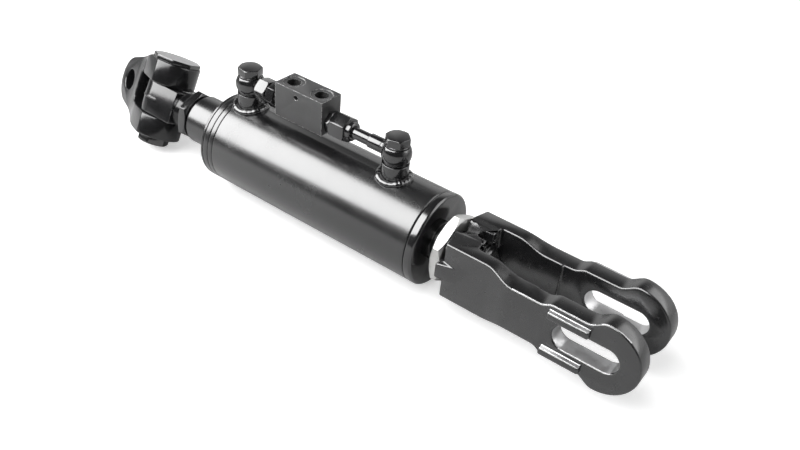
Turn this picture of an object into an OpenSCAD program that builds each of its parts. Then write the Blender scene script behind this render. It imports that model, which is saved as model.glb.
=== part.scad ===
// Hydraulic lower link stabilizer: a double-acting cylinder with a locking valve block on top,
// a clevis joint at the chassis end and a slotted forged fork at the lower link end.
// X runs along the cylinder towards the fork, Z is up through the oil ports.
// The origin is the middle of the fork's slot, on the cylinder's axis.

/* [Barrel] */
// Wall of the barrel
barrel_wall = 7.5; // [5:0.5:10]
// Bore of the barrel, in which the piston runs
barrel_bore = 65; // [60:1:68]
// Length of the closed cylinder between its two end faces
cylinder_l = 231; // [222:1:300]
// Length of the base cap's rim, outside the barrel
base_rim_l = 8; // [6:0.5:14]
// How far the base cap's rim stands proud of the barrel
rim_proud = 0.2; // [0:0.1:2]
// Distance of the base port from the cylinder's base end
base_port_inset = 49.7; // [46:0.1:56]
// Distance of the rod port from the cylinder's rod end
rod_port_inset = 23.4; // [23:0.1:25]
// Diameter of the oil hole under each port
oil_hole_d = 8; // [5:0.5:9]

/* [Gland] */
// Length of the gland's thread in the barrel
gland_thread_l = 13.4; // [12:0.2:14]
// Length of the gland's land that seals in the barrel
gland_land_l = 4.6; // [4.2:0.1:5]
// Diameter of the gland's nose inside the barrel
gland_nose_d = 56; // [53:0.5:57]
// How far the gland's nose reaches into the barrel from the rod end
gland_reach = 40; // [34:1:48]
// Depth of the seal grooves round the rod
rod_seal_depth = 4; // [2.5:0.5:4]

/* [Rod and piston] */
// Diameter of the piston rod
rod_d = 45; // [40:1:46]
// Length of rod that stands out of the cylinder when it is closed
rod_stickout = 41.2; // [30:0.2:60]
// Length of the piston
piston_l = 38; // [34:1:46]
// Diameter of the rod's shank through the piston
shank_d = 30; // [24:1:32]
// Across flats of the piston nut
piston_nut_af = 46; // [42:1:50]
// Length of the piston nut
piston_nut_l = 14; // [10:1:15]
// Depth of the piston's seal grooves
piston_seal_depth = 5; // [3:0.5:6]
// Radial running clearance of rod, piston rings, pins and screws
run_fit = 0.05; // [0.02:0.01:0.1]

/* [Ports and pipework] */
// Diameter of the round boss under each oil port
boss_d = 22.6; // [21:0.2:28]
// Height of the top of the boss above the cylinder's axis
boss_top = 52.8; // [50:0.2:54]
// Diameter of the hollow banjo bolts
banjo_bolt_d = 13.1; // [11:0.1:14]
// Across flats of the banjo bolts
banjo_bolt_af = 18.4; // [17:0.1:22]
// Height of a banjo bolt's head
banjo_head_h = 6.8; // [5:0.2:9]
// Diameter of the banjo's ball
banjo_ball_d = 25; // [23:0.5:27]
// Height of the banjo between its flat faces
banjo_h = 14; // [13:0.5:16]
// Thickness of a sealing washer
washer_t = 1.5; // [1:0.1:2]
// Outside diameter of the transfer pipes
pipe_od = 10; // [8:0.5:11]
// Bore of the transfer pipes
pipe_bore = 6.5; // [4:0.5:7]
// Across flats of the pipe nuts
pipe_nut_af = 19; // [18:0.5:22]
// Across flats of the adapters in the valve block
adapter_af = 17; // [16:0.5:20]
// Diameter of the adapters' thread in the valve block
adapter_thread_d = 14; // [13:0.5:15]

/* [Valve block] */
// Length of the valve block
block_l = 50.6; // [48:0.2:54]
// Width of the valve block
block_w = 23.5; // [20:0.5:30]
// Height of the valve block
block_h = 30; // [27:0.5:36]
// Distance of the valve block from the cylinder's rod end
block_inset = 62.9; // [60:0.1:66]
// Depth of the valve bore's axis above the block's underside
valve_bore_up = 9.4; // [9:0.1:10]
// Diameter of the two hose ports on top of the block
hose_port_d = 11.8; // [10:0.1:12.5]
// Depth of the hose ports
hose_port_depth = 11; // [9:0.5:13]
// Diameter of the spot face round a hose port
spot_face_d = 18.5; // [16:0.5:20]
// Distance of the hose ports from the block's two ends, towards its middle
hose_port_inset = 10.4; // [9.8:0.1:11.4]
// Diameter of the pilot piston
pilot_d = 10; // [8:0.5:11]
// Travel of the pilot piston each way, and of each check poppet
valve_travel = 1; // [0.4:0.1:1.2]

/* [Chassis joint] */
// Distance of the pivot pin from the cylinder's rod end
pin_reach = 90; // [88:0.5:110]
// Lean of the pivot pin from upright, about the cylinder's axis
pin_lean = 27; // [0:1:60]
// Swing of the clevis about the pivot pin, as it stands here
clevis_swing = 21.3; // [-40:0.1:40]
// Diameter of the pivot pin
pin_d = 25; // [20:0.5:26]
// Wall of the bush in the knuckle's eye
bush_wall = 2.5; // [1.5:0.5:3]
// Height of the knuckle along the pin
knuckle_h = 30; // [28:1:34]
// Width of the knuckle across its flats
knuckle_w = 39; // [36:1:41]
// Length of the knuckle from the pin to its flat end
knuckle_reach = 29.5; // [28:0.5:33]
// Diameter of the knuckle's screwed stud
knuckle_stud_d = 27; // [22:1:30]
// Length of thread that the rod takes up
knuckle_grip = 45; // [30:1:60]
// Across flats of the knuckle's lock nut
knuckle_nut_af = 42; // [40:1:46]
// Thickness of the knuckle's lock nut
knuckle_nut_l = 8.5; // [7:0.5:10]
// Gap between the knuckle and each ear of the clevis
ear_gap = 0.6; // [0.3:0.1:1]
// Thickness of the clevis' ear under the pin's head
ear_t = 21.1; // [16:0.1:24]
// Thickness of the clevis' ear over the pin's nut
nut_ear_t = 19.7; // [16:0.1:24]
// Diameter of the round boss of each ear
ear_boss_d = 45.5; // [42:0.5:48]
// Width of the clevis across its flat sides
clevis_w = 37; // [32:1:40]
// Distance from the pivot pin to the inside of the clevis' bridge
clevis_depth = 38; // [37:1:42]
// Distance from the pivot pin to the lug's hole
lug_reach = 64; // [61:1:75]
// Diameter of the lug's hole
lug_hole_d = 20.5; // [16:0.5:25]
// How far the lug stands off the middle of the knuckle, towards the nut
lug_drop = 1.5; // [0:0.1:3]
// Width of the lug round its hole
lug_w = 47; // [44:1:50]
// Thickness of the lug
lug_t = 24; // [18:0.5:28]
// Width across the flats of the pin's eight-sided head
pin_head_w = 40.5; // [36:0.5:44]
// Thickness of the pin's head
pin_head_t = 4.2; // [3:0.1:8]
// Diameter of the pin's thread
pin_thread_d = 16; // [14:1:20]
// Across flats of the pin's nut
pin_nut_af = 25; // [24:0.5:34]
// Thickness of the pin's nut
pin_nut_t = 8.5; // [8:0.5:14]

/* [Fork] */
// Diameter of the stud in the cylinder's base
stud_d = 33; // [30:1:34]
// Across flats of the fork's lock nut
fork_nut_af = 54; // [46:1:56]
// Thickness of the fork's lock nut
fork_nut_l = 9; // [8:0.5:13]
// Gap between the cylinder's base and the fork's lock nut
fork_nut_gap = 9; // [8:0.5:14]
// Length of the fork
fork_l = 175.5; // [170:0.5:192]
// Length of the fork's solid root, which takes the stud
root_l = 26; // [22:0.5:30]
// Height of the fork's root
root_h = 52; // [48:1:58]
// Width of the fork's root
root_w = 59.4; // [56:0.2:62]
// How far the stud's end stands out of the root, into the gap
stud_proud = 4; // [2:0.5:8]
// Diameter of the countersink round the stud, in the fork's front
sink_d = 48; // [40:1:52]
// Depth of that countersink
sink_l = 9; // [4:0.5:12]
// Width of the notch in the root, over the stud
notch_w = 9.6; // [6:0.2:12]
// Length of the notch
notch_l = 12.2; // [8:0.2:16]
// Height of the fork's waist
waist_h = 40; // [36:1:44]
// Height of the arms beside the slot
arm_h = 48; // [46:1:52]
// Width of the fork across the arms
arms_w = 68.4; // [66:0.2:76]
// Gap between the arms next to the root
gap_w = 34; // [30:0.5:36]
// Widening of each side of the gap beyond the inner step
gap_step = 1; // [0.5:0.1:2]
// Radius of the round ends of the arms
lobe_r = 31.5; // [30:0.5:34]
// Width of the slot in each arm
slot_w = 21.5; // [18:0.5:23]
// Length of the slot
slot_l = 54; // [44:1:56]
// Wall between the end of the slot and the tip of the arm
slot_wall = 16.8; // [14:0.2:20]
// Length of the guide ribs above and below the slot
rib_l = 34; // [24:1:38]
// How far the guide ribs stand out from the arms
rib_out = 5.3; // [2:0.1:8]
// Thickness of the guide ribs
rib_t = 6.5; // [5:0.5:7]
// How far the wedge pads stand out at the fork's root
pad_out = 5; // [2:0.5:6]

/* [Hidden] */
$fn = 64;
eps = 0.01;
barrel_od = barrel_bore + 2*barrel_wall;
// Places along the cylinder, from its rod end
land_end = gland_thread_l + gland_land_l;
cap_seam_x = cylinder_l - base_rim_l;
base_port_x = cylinder_l - base_port_inset;
port_xs = [rod_port_inset, base_port_x];
spigot_x = base_port_x + oil_hole_d/2 + 4.7;
stop_gap = 1;
nut_end_x = spigot_x - stop_gap;
piston_end_x = nut_end_x - piston_nut_l;
piston_x = piston_end_x - piston_l;
stroke = piston_x - gland_reach - stop_gap;
// Gland and its seals
seal_groove_d = rod_d + 2*rod_seal_depth;
wiper_l = 5.5;
rod_seal_l = 8;
rod_seal_x = 9.5;
guide_ring_l = 10;
guide_ring_x = gland_reach - 4 - guide_ring_l;
guide_ring_depth = 2.5;
o_ring_w = 2.2;
o_ring_x = gland_thread_l + (gland_land_l - o_ring_w)/2;
o_ring_depth = 2;
spanner_hole_d = 4.5;
spanner_holes = 4;
// Grooves turned round the barrel's rod end
barrel_grooves = [2.6, 8.3, 13.4];
groove_w = 0.8;
// Base cap and stud
stud_grip = 26;
stud_x = cylinder_l - stud_grip;
fork_nut_x = cylinder_l + fork_nut_gap;
fork_x = fork_nut_x + fork_nut_l + 0.2;
stud_end_x = fork_x + root_l + stud_proud;
// Piston
ring_inset = 3;
ring_l = 7;
seal_l = 9;
piston_gap = 0.3;
shank_seal_w = 3;
shank_seal_depth = 2.5;
// Ports and pipes
pipe_z = boss_top + washer_t + banjo_h/2;
banjo_top = pipe_z + banjo_h/2;
head_z = banjo_top + washer_t;
bolt_reach = 9;
bolt_bore = 6;
block_end_x = block_inset + block_l;
block_mid_x = block_inset + block_l/2;
block_z = pipe_z - valve_bore_up;
block_top = block_z + block_h;
hose_port_xs = [block_inset + hose_port_inset, block_end_x - hose_port_inset];
cross_hole_d = 4.5;
cross_hole_x = block_inset + 22.7;
cross_hole_z = block_top - 6;
adapter_grip = 7;
adapter_bore = 6;
banjo_neck_l = banjo_ball_d/2 + 0.6;
rod_nut_x = rod_port_inset + banjo_neck_l + 0.1;
rod_nut_l = 11;
rod_hex_gap = 1.5;
rod_hex_l = 8;
base_hex_l = 4.8;
base_nut_l = 15.5;
collar_l = 4.5;
pipe_seat = 6;
sleeve_l = 13;
sleeve_d = pipe_od + 2;
// Valve internals, measured from the block's middle
pilot_l = 10;
pilot_nose_d = 3.6;
seat_in = 8.6;
seat_l = 2.6;
seat_bore = 5.6;
cartridge_d = adapter_thread_d - 2;
poppet_d = cartridge_d - 3;
poppet_body_l = 3.2;
poppet_gap = 0.1;
cone_l = 2.6;
poppet_land = 1.2;
poppet_tip_d = 2;
poppet_z = seat_in + seat_l + poppet_gap - cone_l*(seat_bore - poppet_tip_d)/(poppet_d - poppet_tip_d);
pilot_reach = poppet_z - valve_travel - poppet_gap;
spring_wire = 0.9;
spring_turns = 2;
spring_r = adapter_bore/2 + 1;
spring_z0 = poppet_z + cone_l + poppet_land;
spring_z1 = block_l/2 - adapter_grip;
// Chassis joint
ear_in = knuckle_h/2 + ear_gap;
ear_out = ear_in + ear_t;
nut_ear_out = ear_in + nut_ear_t;
eye_bore = pin_d + 2*bush_wall;
knuckle_end_x = -pin_reach + knuckle_reach;
lock_nut_x = -rod_stickout - knuckle_nut_l;
lug_gap_r = 6;
ear_flat_l = 21;
ear_edge_l = 13;
flat_draft = 0.115;
lug_round = 3.5;
clevis_taper_l = 30;
rod_chamfer = 4.5;
draft = 1.2;
// Fork
tip_x = fork_l;
lobe_x = tip_x - lobe_r;
slot_r = slot_w/2;
slot_x1 = tip_x - slot_wall - slot_r;
slot_x0 = slot_x1 - (slot_l - slot_w);
slot_mid = (slot_x0 + slot_x1)/2;
waist_x0 = 41;
waist_x1 = 67;
waist_x2 = slot_x0 - 25;
waist_x3 = slot_x0 - 14;
flare_l = 16;
root_crown = 4.9;
step_x = slot_x0 - slot_r - 22;
gap_r = 4;
rib_x = slot_x0 - slot_r - 5.5;
rib_z = slot_r + 3.4;
pad_l = 14.5;
pad_z0 = -6;
pad_z1 = 8;
scoop_r = 10;
scoop_depth = 6;
origin_x = fork_x + slot_mid;

// Helpers
module placed() translate([-origin_x, 0, 0]) children();
module along_x(x) translate([x, 0, 0]) rotate([0, 90, 0]) children();
module rod_x(x, l, d) along_x(x) cylinder(h = l, d = d);
module ring_x(x, l, d, bore) difference() {
    rod_x(x, l, d);
    rod_x(x - 1, l + 2, bore);
}
module chamfered_x(x, l, d, c) along_x(x) rotate_extrude()
    polygon([[0, 0], [d/2 - c, 0], [d/2, c], [d/2, l - c], [d/2 - c, l], [0, l]]);
// A hexagon with the usual chamfered corners, along Z
module hexagon(af, l, both = true) intersection() {
    cylinder(h = l, d = af/cos(30), $fn = 6);
    c = af*0.07;
    r = af/cos(30)/2;
    rotate_extrude() polygon(concat([[0, 0]], both ? [[r - c, 0], [r, c*0.6]] : [[r, 0]],
        [[r, l - c*0.6], [r - c, l], [0, l]]));
}
module hex_x(x, l, af, turn) translate([x, 0, 0]) rotate([turn, 0, 0]) rotate([0, 90, 0])
    hexagon(af, l);
module nut_x(x, l, af, bore, turn) difference() {
    hex_x(x, l, af, turn);
    rod_x(x - 1, l + 2, bore);
}
module drilling(a, b, d) {
    v = b - a;
    translate(a) rotate([0, acos(v.z/norm(v)), atan2(v.y, v.x)]) cylinder(h = norm(v), d = d, $fn = 24);
}
// Points of an arc, and of a smooth step from one height to another
function arc(cx, cy, r, a0, a1, n) = [for (i = [0:n]) let (a = a0 + (a1 - a0)*i/n)
    [cx + r*cos(a), cy + r*sin(a)]];
function step(x0, y0, x1, y1, n) = [for (i = [0:n]) let (t = i/n)
    [x0 + (x1 - x0)*t, y0 + (y1 - y0)*(1 - cos(180*t))/2]];
function mirrored(p) = concat(p, [for (i = [len(p) - 1:-1:0]) [p[i].x, -p[i].y]]);

// Cylinder
module barrel_tube() color("#1a1a1b") placed() difference() {
    chamfered_x(0, cap_seam_x, barrel_od, 0.8);
    rod_x(-1, cap_seam_x + 2, barrel_bore);
    for (x = barrel_grooves) ring_x(x, groove_w, barrel_od + 1, barrel_od - 2*groove_w);
    for (x = port_xs) translate([x, 0, 0]) cylinder(h = barrel_od, d = oil_hole_d);
}

module port_bosses() color("#1a1a1b") placed() for (x = port_xs) difference() {
    translate([x, 0, 0]) cylinder(h = boss_top, d = boss_d);
    rod_x(x - boss_d, 2*boss_d, barrel_od);
    translate([x, 0, 0]) cylinder(h = boss_top, d = oil_hole_d);
    translate([x, 0, boss_top - bolt_reach]) cylinder(h = bolt_reach + 1, d = banjo_bolt_d);
}

// A fillet weld round each boss: a cone cut to an even height over the barrel
bead_w = 4.2;
bead_h = 2.7;
module port_weld_beads() color("#2a2a2b") placed() for (x = port_xs) difference() {
    intersection() {
        translate([x, 0, barrel_od/2]) rotate_extrude() polygon([[boss_d/2, -boss_d/2],
            [boss_d/2 + bead_w, -boss_d/2], [boss_d/2 + bead_w, -1], [boss_d/2 + bead_w*0.6, bead_h*0.55],
            [boss_d/2, bead_h + 0.5]]);
        rod_x(x - boss_d, 2*boss_d, barrel_od + 2*bead_h);
    }
    rod_x(x - boss_d, 2*boss_d, barrel_od);
    translate([x, 0, 0]) cylinder(h = barrel_od, d = boss_d);
}

module rod_gland() color("#1a1a1b") placed() difference() {
    union() {
        rod_x(0, land_end, barrel_bore);
        chamfered_x(gland_thread_l, gland_reach - gland_thread_l, gland_nose_d, 1);
    }
    rod_x(-1, gland_reach + 2, rod_d + 2*run_fit);
    rod_x(-1, wiper_l + 1, seal_groove_d);
    rod_x(rod_seal_x, rod_seal_l, seal_groove_d);
    rod_x(guide_ring_x, guide_ring_l, rod_d + 2*guide_ring_depth);
    ring_x(o_ring_x, o_ring_w, barrel_bore + 1, barrel_bore - 2*o_ring_depth);
    for (i = [1:spanner_holes]) rotate([360*i/spanner_holes, 0, 0])
        translate([0, 0, (barrel_bore + seal_groove_d)/4]) rod_x(-1, 6, spanner_hole_d);
}

module rod_wiper() color("#3b3b34") placed() difference() {
    along_x(-1.2) rotate_extrude() polygon([[rod_d/2 + run_fit, 0], [rod_d/2 + 1.3, 0],
        [rod_d/2 + 2.2, 1.2], [seal_groove_d/2, 1.2], [seal_groove_d/2, wiper_l + 1.2],
        [rod_d/2 + run_fit, wiper_l + 1.2]]);
    rod_x(2.2, 1.2, rod_d + 2);
}

module rod_seal() color("#2f4a63") placed() difference() {
    ring_x(rod_seal_x, rod_seal_l, seal_groove_d, rod_d + 2*run_fit);
    ring_x(rod_seal_x + rod_seal_l - 2.5, 3, seal_groove_d - 2.5, rod_d + 2.5);
}

module rod_guide_ring() color("#8a5a2b") placed()
    ring_x(guide_ring_x, guide_ring_l, rod_d + 2*guide_ring_depth, rod_d + 2*run_fit);

module gland_o_ring() color("#141414") placed()
    ring_x(o_ring_x, o_ring_w, barrel_bore, barrel_bore - 2*o_ring_depth);

rim_r = barrel_od/2 + rim_proud;
module base_cap() color("#1a1a1b") placed() difference() {
    union() {
        chamfered_x(spigot_x, cap_seam_x - spigot_x + 1, barrel_bore, 1);
        along_x(cap_seam_x) rotate_extrude() polygon([[0, 0], [rim_r - 1.2, 0], [rim_r, 1.2],
            [rim_r, base_rim_l - 1.5], [rim_r - 1.5, base_rim_l], [0, base_rim_l]]);
    }
    rod_x(stud_x, stud_grip + 1, stud_d);
}

module base_stud() color("#8d9094") placed()
    chamfered_x(stud_x, stud_end_x - stud_x, stud_d, 1.5);

// Port fittings
bolt_turns = [49, 17];
module banjo_bolts() color("#1c1c1d") placed() for (i = [0, 1]) translate([port_xs[i], 0, 0]) difference() {
    union() {
        translate([0, 0, head_z]) rotate([0, 0, bolt_turns[i]]) hexagon(banjo_bolt_af, banjo_head_h, false);
        translate([0, 0, boss_top - bolt_reach + 1])
            cylinder(h = head_z - boss_top + bolt_reach - 1 + eps, d = banjo_bolt_d);
    }
    translate([0, 0, boss_top - bolt_reach]) cylinder(h = pipe_z - boss_top + bolt_reach + 3, d = bolt_bore);
    translate([-banjo_bolt_d, 0, pipe_z]) rotate([0, 90, 0]) cylinder(h = 2*banjo_bolt_d, d = 4);
}

module banjo_washers() color("#9a6b3c") placed() for (x = port_xs, z = [boss_top, banjo_top])
    translate([x, 0, z]) difference() {
        cylinder(h = washer_t, d = banjo_bolt_d + 6.5);
        translate([0, 0, -1]) cylinder(h = washer_t + 2, d = banjo_bolt_d);
    }

// A ball with flat faces and a neck towards the pipe; dir is 1 for a neck along +X
module banjo(x, dir, neck_l, neck_d) translate([x, 0, pipe_z]) difference() {
    union() {
        intersection() {
            sphere(d = banjo_ball_d);
            cube([banjo_ball_d, banjo_ball_d, banjo_h], center = true);
        }
        rotate([0, 90*dir, 0]) cylinder(h = neck_l, d = neck_d);
    }
    translate([0, 0, -banjo_h]) cylinder(h = 2*banjo_h, d = banjo_bolt_d);
    rotate_extrude() polygon([[0, -2.5], [banjo_bolt_d/2 + 1.5, -2.5], [banjo_bolt_d/2 + 1.5, 2.5], [0, 2.5]]);
    rotate([0, 90*dir, 0]) cylinder(h = neck_l + 1, d = pipe_bore);
    rotate([0, 90*dir, 0]) translate([0, 0, neck_l - pipe_seat/2]) cylinder(h = pipe_seat, d = pipe_od);
}

module rod_end_banjo() color("#1c1c1d") placed() banjo(rod_port_inset, 1, banjo_neck_l, pipe_od + 2);
module base_end_banjo() color("#1c1c1d") placed() banjo(base_port_x, -1, banjo_neck_l, pipe_od + 2);

rod_pipe_x = rod_port_inset + banjo_neck_l - pipe_seat/2;
base_pipe_x = base_port_x - banjo_neck_l + pipe_seat/2;
rod_hex_x = rod_nut_x + rod_nut_l + rod_hex_gap;
base_hex_x = block_end_x;
base_nut_x = base_hex_x + base_hex_l + 0.4;
base_collar_x = base_nut_x + base_nut_l;
rod_pipe_end = rod_hex_x + 1;
base_pipe_end = base_nut_x + 3;
cone_d = pipe_nut_af - 5;

module rod_end_adapter() color("#1c1c1d") placed() translate([0, 0, pipe_z]) difference() {
    union() {
        rod_x(rod_nut_x + 4, rod_hex_x - rod_nut_x - 4 + eps, cone_d);
        hex_x(rod_hex_x, rod_hex_l, adapter_af + 2, 12);
        rod_x(rod_hex_x + 1, block_inset - rod_hex_x + adapter_grip - 1, adapter_thread_d);
    }
    rod_x(0, cylinder_l, adapter_bore);
    rod_x(0, rod_pipe_end, pipe_od);
}

module base_end_adapter() color("#1c1c1d") placed() translate([0, 0, pipe_z]) difference() {
    union() {
        rod_x(base_hex_x - adapter_grip, adapter_grip + 1 + eps, adapter_thread_d);
        hex_x(base_hex_x, base_hex_l, adapter_af, 12);
        rod_x(base_hex_x + 1, base_hex_l + base_nut_l - 5, cone_d);
    }
    rod_x(0, cylinder_l, adapter_bore);
    rod_x(base_pipe_end, cylinder_l, pipe_od);
}

module rod_end_pipe_nut() color("#232324") placed() translate([0, 0, pipe_z]) difference() {
    hex_x(rod_nut_x, rod_nut_l, pipe_nut_af, 34);
    rod_x(rod_nut_x - 1, rod_nut_l + 2, pipe_od);
    rod_x(rod_nut_x + 4, rod_nut_l, cone_d);
}

module base_end_pipe_nut() color("#232324") placed() translate([0, 0, pipe_z]) difference() {
    union() {
        hex_x(base_nut_x, base_nut_l, pipe_nut_af + 1, 34);
        chamfered_x(base_collar_x - 2, collar_l + 2, cone_d + 2, 1);
    }
    rod_x(base_nut_x - 1, base_nut_l + collar_l + 2, pipe_od);
    rod_x(base_nut_x - 1, base_nut_l - 3.4, cone_d);
}

module rod_end_pipe() color("#2c2c2e") placed() translate([0, 0, pipe_z])
    ring_x(rod_pipe_x, rod_pipe_end - rod_pipe_x, pipe_od, pipe_bore - 1);

module base_end_pipe() color("#2c2c2e") placed() translate([0, 0, pipe_z])
    ring_x(base_pipe_end, base_pipe_x - base_pipe_end, pipe_od, pipe_bore - 1);

module pipe_sleeve() color("#232324") placed() translate([0, 0, pipe_z])
    ring_x(base_pipe_x - pipe_seat/2 - sleeve_l, sleeve_l, sleeve_d, pipe_od);

// Valve block with its cartridge bore, hose ports and galleries
module valve_block() color("#1d1d1e") placed() difference() {
    translate([block_inset, -block_w/2, block_z]) cube([block_l, block_w, block_h]);
    translate([0, 0, pipe_z]) {
        rod_x(block_mid_x - seat_in, 2*seat_in, pilot_d + 2*run_fit);
        for (s = [-1, 1]) translate([block_mid_x, 0, 0]) rotate([0, 90*s, 0])
            translate([0, 0, seat_in]) cylinder(h = block_l/2 - seat_in - adapter_grip + eps, d = cartridge_d);
        for (s = [-1, 1]) translate([block_mid_x + s*block_l/2, 0, 0]) rotate([0, -90*s, 0])
            cylinder(h = adapter_grip, d = adapter_thread_d);
    }
    for (i = [0, 1]) {
        x = hose_port_xs[i];
        translate([x, 0, block_top - hose_port_depth]) cylinder(h = hose_port_depth + 1, d = hose_port_d);
        translate([x, 0, block_top - 0.8]) cylinder(h = 2, d = spot_face_d);
        drilling([x, 0, block_top - hose_port_depth + 1],
            [block_mid_x + (i*2 - 1)*(seat_in - 1.3), 0, pipe_z + pilot_d/2 - 1], 3);
    }
    translate([cross_hole_x, -block_w, cross_hole_z]) rotate([-90, 0, 0]) cylinder(h = 2*block_w, d = cross_hole_d);
}

module at_check(s) translate([block_mid_x, 0, pipe_z]) rotate([0, 90*s, 0]) children();

module check_seats() color("#b08d3c") placed() for (s = [-1, 1]) at_check(s) translate([0, 0, seat_in])
    difference() {
        cylinder(h = seat_l, d = cartridge_d);
        translate([0, 0, -1]) cylinder(h = seat_l + 2, d = seat_bore);
    }

// A check spring: half turns, each tilted to rise by the same amount
module check_spring() {
    half_rise = (spring_z1 - spring_z0 - spring_wire)/(2*spring_turns);
    ring_r = norm([spring_r, half_rise/2]);
    for (i = [0:2*spring_turns - 1])
        translate([0, 0, spring_z0 + spring_wire/2 + half_rise*(i + 0.5)]) rotate([0, 0, 180*i])
            rotate([0, asin(half_rise/2/ring_r), 0])
                rotate_extrude(angle = 180) translate([ring_r, 0]) circle(d = spring_wire, $fn = 24);
    for (i = [1:2*spring_turns - 1])
        translate([i%2 == 0 ? spring_r : -spring_r, 0, spring_z0 + spring_wire/2 + half_rise*i])
            sphere(d = spring_wire*1.03, $fn = 24);
}
module rod_end_check_spring() color("#a8acb0") placed() at_check(-1) check_spring();
module base_end_check_spring() color("#a8acb0") placed() at_check(1) check_spring();

module pilot_piston() color("#b9bcc0") placed() translate([block_mid_x, 0, pipe_z]) {
    rod_x(-pilot_l/2, pilot_l, pilot_d);
    rod_x(-pilot_reach, 2*pilot_reach, pilot_nose_d);
}

module valve_poppet(s) at_check(s) translate([0, 0, poppet_z]) rotate_extrude()
    polygon([[0, 0], [poppet_tip_d/2, 0], [poppet_d/2, cone_l], [poppet_d/2, cone_l + poppet_land],
        [spring_r - spring_wire, cone_l + poppet_land], [spring_r - spring_wire, cone_l + poppet_body_l],
        [0, cone_l + poppet_body_l]]);
module rod_end_poppet() color("#b9bcc0") placed() valve_poppet(-1);
module base_end_poppet() color("#b9bcc0") placed() valve_poppet(1);

// Piston and rod
module piston_seal() color("#2f4a63") placed() ring_x(piston_x + (piston_l - seal_l)/2, seal_l,
    barrel_bore - 2*run_fit, barrel_bore - 2*piston_gap - 2*piston_seal_depth);

module piston_guide_rings() color("#8a5a2b") placed()
    for (x = [piston_x + ring_inset, piston_end_x - ring_inset - ring_l])
        ring_x(x, ring_l, barrel_bore - 2*run_fit, barrel_bore - 2*piston_gap - 2*guide_ring_depth);

module piston_rod() color("#c9ccd0") placed() difference() {
    union() {
        along_x(-rod_stickout) rotate_extrude() polygon([[0, 0], [rod_d/2 - rod_chamfer, 0],
            [rod_d/2, rod_chamfer], [rod_d/2, piston_x + rod_stickout], [0, piston_x + rod_stickout]]);
        chamfered_x(piston_x - 1, nut_end_x - piston_x + 1, shank_d, 1.2);
    }
    rod_x(-rod_stickout - 1, knuckle_grip + 3, knuckle_stud_d);
}

module piston() color("#9aa0a6") placed() difference() {
    chamfered_x(piston_x, piston_l, barrel_bore - 2*piston_gap, 1);
    rod_x(piston_x - 1, piston_l + 2, shank_d);
    ring_x(piston_x + (piston_l - seal_l)/2, seal_l, barrel_bore, barrel_bore - 2*piston_gap - 2*piston_seal_depth);
    for (x = [piston_x + ring_inset, piston_end_x - ring_inset - ring_l])
        ring_x(x, ring_l, barrel_bore, barrel_bore - 2*piston_gap - 2*guide_ring_depth);
    rod_x(piston_x + piston_l/2 - shank_seal_w/2, shank_seal_w, shank_d + 2*shank_seal_depth);
}

module piston_o_ring() color("#141414") placed()
    ring_x(piston_x + piston_l/2 - shank_seal_w/2, shank_seal_w, shank_d + 2*shank_seal_depth, shank_d);

module piston_nut() color("#6f7276") placed() nut_x(piston_end_x, piston_nut_l, piston_nut_af, shank_d, 0);

// Chassis joint: a knuckle screwed into the rod, pinned in a clevis
module at_pin() translate([-pin_reach, 0, 0]) rotate([-pin_lean, 0, 0]) children();
module at_clevis() at_pin() rotate([0, 0, 180 - clevis_swing]) children();

module knuckle_lock_nut() color("#1c1c1d") placed()
    nut_x(lock_nut_x, knuckle_nut_l, knuckle_nut_af, knuckle_stud_d, 50);

module knuckle() color("#1b1b1c") placed() difference() {
    union() {
        at_pin() {
            half = knuckle_w/2;
            top = knuckle_h/2;
            for (s = [-1, 1]) translate([0, 0, s > 0 ? 0 : -top])
                cylinder(h = top, r1 = s > 0 ? half : half - draft/2, r2 = s > 0 ? half - draft/2 : half);
            rotate([90, 0, 90]) linear_extrude(height = knuckle_reach) polygon([[-half, 0],
                [draft/2 - half, -top], [half - draft/2, -top], [half, 0], [half - draft/2, top],
                [draft/2 - half, top]]);
        }
        along_x(knuckle_end_x - 1) rotate_extrude() polygon([[0, 0], [knuckle_h/2 + 1.5, 0],
            [knuckle_h/2 + 1.5, 1.5], [knuckle_stud_d/2, 7], [0, 7]]);
        chamfered_x(knuckle_end_x, -rod_stickout + knuckle_grip - knuckle_end_x, knuckle_stud_d, 1.5);
    }
    at_pin() translate([0, 0, -knuckle_h]) cylinder(h = 2*knuckle_h, d = eye_bore);
}

module knuckle_bush() color("#7c7f83") placed() at_pin() difference() {
    translate([0, 0, -knuckle_h/2]) cylinder(h = knuckle_h, d = eye_bore);
    translate([0, 0, -knuckle_h]) cylinder(h = 2*knuckle_h, d = pin_d + 2*run_fit);
}

// The clevis seen from its side: ears round the pin, a bridge, and a lug whose end is round
clevis_side = concat([[-ear_boss_d, ear_out], [ear_edge_l, ear_out]],
    arc(lug_reach - lug_round, -lug_drop, lug_w/2, 74, -76, 20),
    [[ear_edge_l, -nut_ear_out], [-ear_boss_d, -nut_ear_out]]);
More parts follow.
